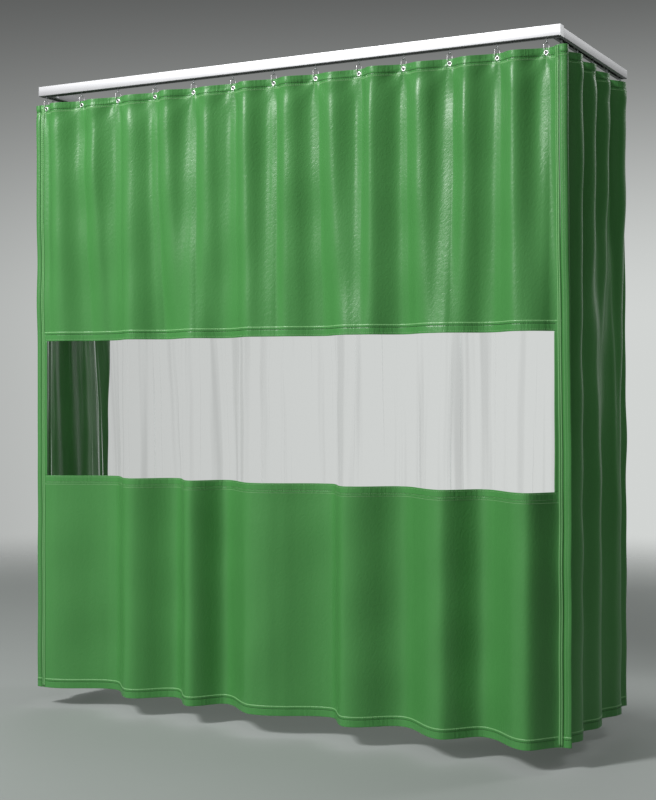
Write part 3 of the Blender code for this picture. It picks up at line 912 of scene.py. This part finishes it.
def cloth_finishes(props):
    """The vinyl, the vinyl of the hems and of the seams, and the two threads.

    A hem has a pale line at its free edge, which is a painted highlight, and a dark one along its
    inner stitches, which is painted shade. A seam has pale lines of the thread's colour along both
    its rows and a dark line of painted shade between them. The second thread is painted dark, as
    shade along the inner rows.
    """
    # The pale line at a hem's free edge is a painted highlight; the dark lines along a hem's inner
    # row and between a seam's rows are painted shade; a seam's pale lines are the thread's colour.
    hem_rows = ((1, 0.0015, 0.0018, 0.50, True), (1, DARK_ROW, 0.0016, 0.55, False))
    seam_rows = ((0, SEAM_ROW, 0.0014, 0.6, True), (0, props.seam / 2, 0.0014, 0.5, False),
                 (0, props.seam - SEAM_ROW, 0.0014, 0.6, True))
    # The hems' and seams' lift paints them lighter than the cloth: painted sheen.
    return (finish_named("cloth_vinyl", green_vinyl, props, 0.36),
            finish_named("hem_vinyl", green_vinyl, props, 0.35, 0.7, 0.20, hem_rows),
            finish_named("seam_vinyl", green_vinyl, props, 0.35, 0.0, 0.10, seam_rows),
            finish_named("thread", thread_finish, props.thread),
            finish_named("dark_thread", thread_finish, props.dark_thread))


class BOOTH_OT_front_curtain(bpy.types.Operator):
    """Front curtain: its two green panels, the borders, the window, the hems and the stitching"""

    bl_idname = "booth.front_curtain"
    bl_label = "Front Curtain"

    def execute(self, context):
        props, hardware = context.scene.booth_curtain, context.scene.booth_hardware
        curtain = Curtain("front")
        vinyl, hem_vinyl, seam_vinyl, *threads = cloth_finishes(props)
        film = finish_named("clear_film", clear_film, props)
        hem, proud, seam, lap = props.hem, props.hem_proud, props.seam, props.window_lap
        u_fine = curtain.shares(eyelets=True)
        u_even = curtain.shares()

        upper = curtain.sheet("front_upper_cloth", u_fine,
                              stacked(CLOTH_TOP - TUCK, WINDOW_TOP, 0.040), vinyl,
                              props.thickness, hardware)
        lower = curtain.sheet("front_lower_cloth", u_even, stacked(WINDOW_BOTTOM, CLOTH_BOTTOM),
                              vinyl, props.thickness)
        inset = (FRONT_EDGE - BORDER_EDGE) / curtain.length
        film_inset = inset - lap / curtain.length
        window = curtain.sheet("front_window_film",
                               curtain.shares(film_inset, 1 - film_inset, 0.008),
                               stacked(WINDOW_TOP + lap, WINDOW_BOTTOM - lap, step=0.016),
                               film, 0)
        border_z = stacked(WINDOW_TOP + 0.004, WINDOW_BOTTOM - 0.004)
        left = curtain.sheet("front_left_border_cloth", curtain.shares(0, inset, 0.004), border_z,
                             vinyl, props.thickness)
        right = curtain.sheet("front_right_border_cloth", curtain.shares(1 - inset, 1, 0.004),
                              border_z, vinyl, props.thickness)

        upper_hems = [
            curtain.hem("front_top_hem", u_fine, CLOTH_TOP, -hem, hem_vinyl, proud, hardware),
            curtain.hem("front_window_top_hem", u_even, WINDOW_TOP, hem, hem_vinyl, proud),
        ]
        lower_hems = [
            curtain.hem("front_window_bottom_hem", u_even, WINDOW_BOTTOM, -hem, hem_vinyl, proud),
            curtain.hem("front_bottom_hem", u_even, CLOTH_BOTTOM, hem, hem_vinyl, proud),
        ]
        band = seam / curtain.length
        tall = stacked(CLOTH_TOP - 0.003, CLOTH_BOTTOM + 0.003)
        tapes = [curtain.sheet(f"front_{side}_seam", curtain.shares(low_u, low_u + band, 0.003),
                               tall, seam_vinyl, props.thickness, out=proud + props.thickness / 2)
                 for side, low_u in (("left", SEAM_START), ("right", 1 - SEAM_START - band))]

        out = proud + LIE
        # Rows of kind 1 take the second thread, whose dark colour is painted shade.
        upper_rows = [(CLOTH_TOP - hem + PALE_ROW, 0), (CLOTH_TOP - hem + DARK_ROW, 1),
                      (WINDOW_TOP + hem - PALE_ROW, 0), (WINDOW_TOP + hem - DARK_ROW, 1),
                      (WINDOW_TOP + 0.005, 0)]
        lower_rows = [(WINDOW_BOTTOM - 0.005, 0), (WINDOW_BOTTOM - hem + PALE_ROW, 1),
                      (WINDOW_BOTTOM - hem + DARK_ROW, 0), (CLOTH_BOTTOM + hem - PALE_ROW, 0),
                      (CLOTH_BOTTOM + hem - DARK_ROW, 1)]
        beside = band + 2 * SEAM_START
        inside = curtain.shares(beside, 1 - beside, 0.006)
        upper_thread, lower_thread = (
            curtain.stitches(f"front_{name}_stitching",
                             [(inside, np.full(len(inside), z), out, kind) for z, kind in rows],
                             props, threads)
            for name, rows in (("upper", upper_rows), ("lower", lower_rows)))
        tall = spaced(CLOTH_TOP - 0.006, CLOTH_BOTTOM + 0.006, 0.01)
        seam_rows = [SEAM_START + far / curtain.length for far in (SEAM_ROW, seam - SEAM_ROW)]
        runs = [(np.full(len(tall), u), tall, proud + props.thickness + CLEARANCE, 0)
                for row in seam_rows for u in (row, 1 - row)]
        seam_thread = curtain.stitches("front_seam_stitching", runs, props, threads)

        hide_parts("front_upper_panel")
        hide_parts("front_lower_panel")
        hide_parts("front_window")
        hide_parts("front_left_border")
        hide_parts("front_right_border")
        for piece in (upper, lower, window, left, right, *upper_hems, *lower_hems, *tapes,
                      upper_thread, lower_thread, seam_thread):
            curtain.gather(piece)
        cut, height = props.front_cut, WINDOW_TOP - WINDOW_BOTTOM
        height + 2 * lap
        return {"FINISHED"}


class BOOTH_OT_side_curtains(bpy.types.Operator):
    """Side curtains: each goes round its corner and back along its rail, with its hems"""

    bl_idname = "booth.side_curtains"
    bl_label = "Side Curtains"

    def execute(self, context):
        props, hardware = context.scene.booth_curtain, context.scene.booth_hardware
        vinyl, hem_vinyl, _, *threads = cloth_finishes(props)
        hem, proud = props.hem, props.hem_proud
        for side in ("right", "left"):
            curtain = Curtain(side)
            u = curtain.shares(eyelets=True)
            cloth = curtain.sheet(f"{side}_cloth", u,
                                  stacked(CLOTH_TOP - TUCK, CLOTH_BOTTOM, 0.040, step=0.016),
                                  vinyl, props.thickness, hardware)
            hems = [
                curtain.hem(f"{side}_top_hem", u, CLOTH_TOP, -hem, hem_vinyl, proud, hardware),
                curtain.hem(f"{side}_bottom_hem", u, CLOTH_BOTTOM, hem, hem_vinyl, proud),
            ]
            # Rows of kind 1 take the second thread, whose dark colour is painted shade.
            rows = ((CLOTH_TOP - hem + PALE_ROW, 0), (CLOTH_TOP - hem + DARK_ROW, 1),
                    (CLOTH_BOTTOM + hem - PALE_ROW, 0), (CLOTH_BOTTOM + hem - DARK_ROW, 1))
            runs = [(u, np.full(len(u), z), proud + LIE, kind) for z, kind in rows]
            tall = spaced(CLOTH_TOP - hem, CLOTH_BOTTOM + hem, 0.01)
            for inset in (0.006, 0.016):
                share = inset / curtain.length
                runs.append((np.full(len(tall), share), tall, props.thickness / 2 + LIE, 0))
            stitching = curtain.stitches(f"{side}_stitching", runs, props, threads)
            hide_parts(f"{side}_curtain")
            for piece in (cloth, *hems, stitching):
                curtain.gather(piece)
        return {"FINISHED"}


# ---- Hardware ---------------------------------------------------------------------------------

def rotate_z(points, turn):
    """Points turned about Z."""
    c, s = cos(turn), sin(turn)
    x, y, z = points.T
    return np.stack([x * c - y * s, x * s + y * c, z], axis=1)


def every_hook():
    """(side, the number in its nodes' names, x, y, the rail's direction) of each hanging point."""
    for side, turn in (("front", 0.0), ("right", pi / 2), ("left", pi / 2)):
        for number, (x, y) in enumerate(HOOKS[side], 1):
            yield side, f"{number:02d}", x, y, turn


def wire_ring(hardware):
    """An oval ring of round wire in the XZ plane, with its middle at the origin.

    The wire's centre follows two half circles joined by straight sides.
    """
    radius = hardware.ring_width / 2 - hardware.wire
    half_straight = (RING_HIGH - RING_LOW) / 2 - hardware.wire - radius
    turns = np.linspace(0, 2 * pi, 56, endpoint=False) + pi / 56
    shift = np.where(np.sin(turns) > 0, half_straight, -half_straight)
    around = np.linspace(0, 2 * pi, 12, endpoint=False)
    out = radius + hardware.wire * np.cos(around)
    x = out * np.cos(turns)[:, None]
    z = out * np.sin(turns)[:, None] + shift[:, None]
    y = np.broadcast_to(hardware.wire * np.sin(around), x.shape)
    points = np.stack([x, y, z], axis=-1).reshape(-1, 3)
    return points, grid_quads(len(turns), len(around), True, True)


def eyelet_shape(hardware):
    """An eyelet turned round Y: a rolled flange each side of the cloth and a barrel between.

    The section is a ring bar whose faces fall away to the cloth at the outer edge.
    """
    hole, edge = hardware.eyelet_hole, hardware.eyelet_edge
    turns = np.linspace(0, 2 * pi, EYELET_STEPS, endpoint=False)
    mid, half = (hole + edge) / 2, (edge - hole) / 2
    radius = mid - half * np.cos(turns)
    crown = 0.0021 - 0.0006 * smooth((radius - hole) / (edge - hole))
    along = crown * np.sin(turns) * (1.0 + 0.25 * np.cos(turns))
    return turned(np.stack([radius, along], axis=1), 36, axis=1)


def bush(bore, radius, start, stop, edge, axis, height=0.0, segments=24):
    """A turned part with rounded rims about an axis at a height; with no bore, it is solid."""
    points, quads = turned(rounded_rectangle((bore, start), (radius, stop), edge), segments, axis)
    return points + (0, 0, height), quads


def trolley_parts(hardware):
    """A trolley's steel and nylon parts, with local X along the rail.

    Wheels, hubs, axle, stem, collar and eye are turned profiles, the block a box with round
    edges.
    """
    axle_z = RAIL_BOTTOM + hardware.wall + CLEARANCE + hardware.wheel
    eye_z = low("front_trolley_01", 2) + hardware.eye
    width, radius = hardware.wheel_width, hardware.wheel
    wheel_y = high("front_trolley_01", 1) - width / 2
    bore, hub = radius * 0.42, width * 0.42
    steel, nylon = [], []
    for y in (-wheel_y, wheel_y):
        nylon.append(bush(bore, radius, y - width / 2, y + width / 2, 0.0009, 1, axle_z, 32))
        steel.append(bush(0.0, bore, y - hub, y + hub, 0.0006, 1, axle_z))
    steel.append(bush(0.0, hardware.axle, -wheel_y, wheel_y, 0.0004, 1, axle_z, 20))
    block = np.array((0.006, hardware.slot / 2 - 0.001, 0.004))
    steel.append(cushion_box((0, 0, axle_z) - block, (0, 0, axle_z) + block, 0.0012))
    steel.append(bush(0.0, hardware.stem, eye_z + 0.0042, axle_z, 0.0006, 2, segments=20))
    collar_low, collar_high = RAIL_BOTTOM - 0.0045, RAIL_BOTTOM - 0.0015
    steel.append(bush(0.0, 0.0042, collar_low, collar_high, 0.0007, 2))
    points, quads = bush(hardware.eye_hole, hardware.eye, -0.0014, 0.0014, 0.0008, 0, eye_z, 32)
    steel.append((rotate_z(points, RING_TURN), quads))
    return joined(steel), joined(nylon)


class BOOTH_OT_hangers(bpy.types.Operator):
    """Hanging points: a trolley, a wire ring and an eyelet for each"""

    bl_idname = "booth.hangers"
    bl_label = "Trolleys, Rings and Eyelets"

    def execute(self, context):
        hardware = context.scene.booth_hardware
        nickel = finish_named("nickel_plate", plated_metal, hardware.nickel, 0.36)
        zinc = finish_named("zinc_plate", plated_metal, hardware.zinc, 0.38)
        nylon = finish_named("moulded_nylon", moulded_nylon, hardware.nylon)
        ring_points, ring_quads = wire_ring(hardware)
        eyelet_points, eyelet_quads = eyelet_shape(hardware)
        # The faces inside each eyelet's hole get a near-black finish, which is painted shade.
        step = np.arange(len(eyelet_quads)) % EYELET_STEPS
        eyelet_slots = (np.minimum(step, EYELET_STEPS - 1 - step) < BARREL_STEPS).astype(int)
        barrel = finish_named("dull_barrel", plated_metal, hardware.barrel, 0.55)
        steel, wheels = trolley_parts(hardware)
        trolley_points, trolley_quads = joined([steel, wheels])
        slots = np.repeat([0, 1], [len(steel[1]), len(wheels[1])])
        ring_z = (RING_LOW + RING_HIGH) / 2
        for side, number, x, y, turn in every_hook():
            ring = new_piece(f"{side}_wire_ring_{number}",
                             rotate_z(ring_points, turn + RING_TURN) + (x, y, ring_z),
                             ring_quads, [nickel])
            trolley = new_piece(f"{side}_carriage_{number}",
                                rotate_z(trolley_points, turn) + (x, y, 0), trolley_quads,
                                [zinc, nylon], slots=slots)
            eyelet = new_piece(f"{side}_eyelet_{number}",
                               rotate_z(eyelet_points, turn) + (x, y, eyelet_z(hardware)),
                               eyelet_quads, [nickel, barrel], slots=eyelet_slots)
            body = node_body(f"{side}_ring_{number}")
            for piece in (ring, trolley, eyelet):
                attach(closed(piece), body)
            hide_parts(f"{side}_ring_{number}")
            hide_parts(f"{side}_trolley_{number}")
        return {"FINISHED"}


def channel_outline(hardware, half_width, top):
    """Section of the slotted channel, as (across, up): straight walls and quarter circles."""
    lip, wall, corner = hardware.slot / 2, hardware.wall, hardware.corner
    chamfer = 0.0003
    bottom, inner = RAIL_BOTTOM, half_width - hardware.wall

    def arc(x, z, start, radius):
        """A quarter turn round a corner's centre, from a starting angle in degrees."""
        turns = radians(start) + np.linspace(0, pi / 2, 5)
        return np.stack([x + radius * np.cos(turns), z + radius * np.sin(turns)], axis=1)

    inside = corner * 0.4
    right = np.concatenate([
        arc(half_width - corner, top - corner, 0, corner)[::-1],
        arc(half_width - corner, bottom + corner, 270, corner)[::-1],
        [[lip + chamfer, bottom], [lip, bottom + chamfer], [lip, bottom + wall - chamfer],
         [lip + chamfer, bottom + wall]],
        arc(inner - inside, bottom + wall + inside, 270, inside),
        arc(inner - inside, top - wall - inside, 0, inside),
    ])
    left = right[::-1] * (-1, 1)
    return np.concatenate([right, left])


class BOOTH_OT_rails(bpy.types.Operator):
    """Rails: the slotted channels, their end caps and the corner brackets"""

    bl_idname = "booth.rails"
    bl_label = "Rails"

    def execute(self, context):
        hardware = context.scene.booth_hardware
        brushed = [finish_named(f"brushed_along_{letter}", brushed_metal, hardware.aluminium,
                                axis, 0.50) for axis, letter in enumerate("xy")]
        for name in ("front_rail", "right_rail", "left_rail"):
            axis = 0 if name == "front_rail" else 1
            half = (high(name, 1 - axis) - low(name, 1 - axis)) / 2
            outline = channel_outline(hardware, half, high(name, 2))
            stations = np.linspace(low(name, axis), high(name, axis), 3)
            points, quads = carried(outline, stations, axis, middle(name)[1 - axis])
            piece = closed(new_piece(f"{name}_channel", points, quads, [brushed[axis]]))
            # The flat faces stay flat beside the small round corners
            piece.data.set_sharp_from_angle(angle=radians(25))
            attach(piece, "root")
            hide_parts(name)
        for node, tone, roughness in (("cap", hardware.aluminium, 0.30),
                                      ("bracket", hardware.zinc, 0.42)):
            metal = finish_named(f"{node}_metal", brushed_metal, tone, 2, roughness)
            for name, thing in frame["nodes"].items():
                if name.endswith(node):
                    thing.data.materials.clear()
                    thing.data.materials.append(metal)
        return {"FINISHED"}


# ---- Stage ------------------------------------------------------------------------------------

# Where each light stands, what it faces, and its width and height
KEY_LIGHT = (-2.3, -5.2, 2.7), (0.0, 0.3, (CLOTH_TOP + CLOTH_BOTTOM) / 2), (1.0, 1.6)
RIM_LIGHT = (3.5, 3.4, 1.7), (1.2, 0.4, -0.3), (0.6, 1.8)
FLOOR_HALF = 20.0           # half the floor's width, far beyond where it has faded out


def soft_light(name, place, target, size, power):
    """A soft box that faces a target."""
    lamp = bpy.data.lights.new(name, "AREA")
    lamp.shape, lamp.size, lamp.size_y = "RECTANGLE", *size
    lamp.energy = power
    thing = bpy.data.objects.new(name, lamp)
    bpy.context.scene.collection.objects.link(thing)
    thing.location = place
    direction = Vector(target) - Vector(place)
    thing.rotation_euler = direction.to_track_quat("-Z", "Y").to_euler()


def studio_world(context, stage):
    """Light from all round for the booth, and a bright wall behind it that only the camera sees.

    Each is a smooth step of a direction's dot product with the way to its middle: the wall's
    darkens upwards, the light ahead weakens downwards, and one more comes from above the back.
    """
    world = bpy.data.worlds.new("studio")
    context.scene.world = world
    world.use_nodes = True
    graph = Graph(world.node_tree)
    x, y, z = graph.axes(graph.node("ShaderNodeTexCoord", output="Generated"))
    behind = graph.between(x * -0.15 + y * 0.99, 0.60, 1.0)
    wall = behind * graph.between(z, 0.30, 0.04)
    ahead = graph.between(x * -0.12 - y * 0.99, 0.05, 1.0)
    ahead = ahead * (graph.between(z, -0.20, 0.50) * 0.65 + 0.35)
    seen = graph.node("ShaderNodeLightPath", output="Is Camera Ray")
    above = graph.between(y * 0.90 + z * 0.60, 0.72, 1.05)
    lit = above * stage.glow + ahead * stage.front + stage.fill
    shown = wall * (stage.wall - stage.fill) + stage.fill
    level = shown * seen + lit * (1 - seen)
    ground = world.node_tree.nodes["Background"]
    graph.feed(ground.inputs["Color"], (0.97, 1.0, 0.98))
    graph.feed(ground.inputs["Strength"], level)


class BOOTH_OT_stage(bpy.types.Operator):
    """Stage: a plain floor, soft light and the camera"""

    bl_idname = "booth.stage"
    bl_label = "Stage"

    def execute(self, context):
        stage = context.scene.booth_stage
        floor_z = CLOTH_BOTTOM - stage.floor_gap
        corners = np.array([(x * FLOOR_HALF, y * FLOOR_HALF, floor_z)
                            for x, y in ((-1, -1), (1, -1), (1, 1), (-1, 1))])
        finish = Finish("floor", roughness=0.75)
        spot = finish.place("Object")
        patch = finish.noise(spot, 0.8, 5.0, 0.6)
        dark = [channel * 0.92 for channel in stage.floor]
        finish.set("Base Color", finish.mix(patch, dark, list(stage.floor)))
        far = finish.node("ShaderNodeVectorMath", {0: spot}, output="Value", operation="LENGTH")
        finish.set("Alpha", finish.between(far, stage.floor_reach, stage.floor_reach * 0.55))
        floor = new_piece("floor", corners, np.array([[0, 1, 2, 3]]), [finish.material])
        studio_world(context, stage)

        soft_light("key", *KEY_LIGHT, stage.key)
        soft_light("rim", *RIM_LIGHT, stage.rim)

        lens = bpy.data.cameras.new("camera")
        lens.lens = stage.lens
        lens.sensor_width = 36.0
        lens.shift_y = stage.lens_shift
        lens.clip_end = 200.0
        camera = bpy.data.objects.new("camera", lens)
        context.scene.collection.objects.link(camera)
        camera.location = (stage.camera_side, -stage.camera_back,
                           CLOTH_BOTTOM + stage.camera_rise)
        camera.rotation_euler = (pi / 2, 0, stage.azimuth)
        context.scene.camera = camera
        context.scene.view_settings.view_transform = "Standard"
        return {"FINISHED"}


class BOOTH_PT_panel(bpy.types.Panel):
    """Lists the steps that build the booth, with their sizes and colours"""

    bl_idname = "BOOTH_PT_panel"
    bl_label = "Welding Booth"
    bl_space_type = "VIEW_3D"
    bl_region_type = "UI"
    bl_category = "Booth"

    def draw(self, context):
        layout = self.layout
        for operator in OPERATORS:
            layout.operator(operator.bl_idname)
        for group in GROUPS:
            box = layout.box()
            values = getattr(context.scene, group)
            for key in GROUPS[group].__annotations__:
                box.prop(values, key)


OPERATORS = (BOOTH_OT_rails, BOOTH_OT_hangers, BOOTH_OT_front_curtain, BOOTH_OT_side_curtains,
             BOOTH_OT_stage)
GROUPS = {"booth_curtain": CurtainProperties, "booth_hardware": HardwareProperties,
          "booth_stage": StageProperties}
CLASSES = (*GROUPS.values(), *OPERATORS, BOOTH_PT_panel)


def register():
    """Makes the classes known to Blender."""
    for item in CLASSES:
        bpy.utils.register_class(item)
    for name, group in GROUPS.items():
        setattr(bpy.types.Scene, name, bpy.props.PointerProperty(type=group))


def unregister():
    """Takes the classes back."""
    for name in GROUPS:
        delattr(bpy.types.Scene, name)
    for item in reversed(CLASSES):
        bpy.utils.unregister_class(item)


def main():
    """Builds every piece in order."""
    register()
    bpy.ops.booth.rails()
    bpy.ops.booth.hangers()
    bpy.ops.booth.front_curtain()
    bpy.ops.booth.side_curtains()
    bpy.ops.booth.stage()


if __name__ == "__main__":
    main()
